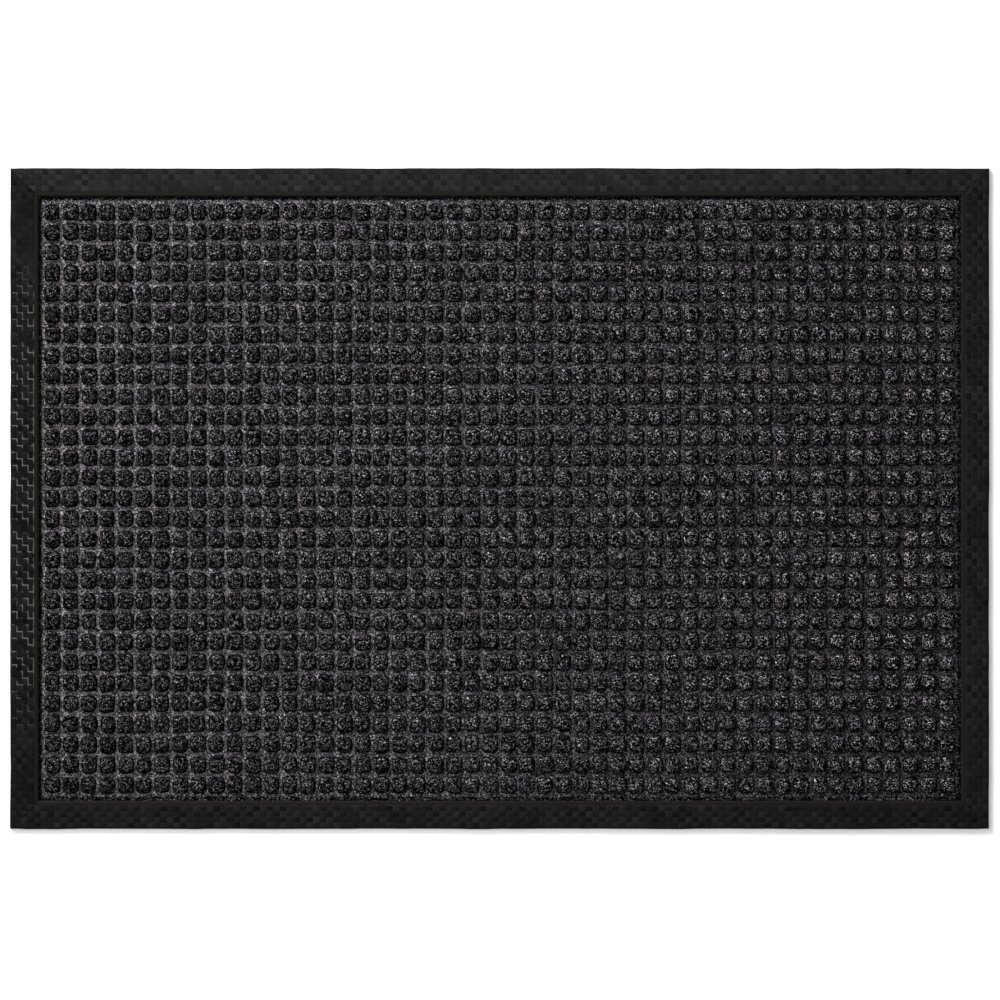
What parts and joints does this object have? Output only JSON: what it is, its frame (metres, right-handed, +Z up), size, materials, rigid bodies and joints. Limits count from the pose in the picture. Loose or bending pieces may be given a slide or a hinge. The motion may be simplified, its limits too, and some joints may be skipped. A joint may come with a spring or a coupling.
{
  "type": "door mat",
  "caption": "Rectangular floor mat: a waffle-grid carpet face set inside mitred rubber border strips on a flat rubber base, for wiping shoes at a door.",
  "frame": {"origin": "middle of the mat's underside, on the floor it lies on", "axes": "+X along the long side to the right, +Y along the short side to the back, +Z up out of the carpet face"},
  "size_m": [0.914, 0.617, 0.0095],
  "materials": {
    "base_rubber": "matte",
    "carpet_pile": "matte heather pile",
    "border_rubber": "satin"
  },
  "bodies": {
    "root": {"rubber_base": "base_rubber", "carpet_face": "carpet_pile", "border_front": "border_rubber", "border_right": "border_rubber", "border_back": "border_rubber", "border_left": "border_rubber"}
  },
  "joints": []
}
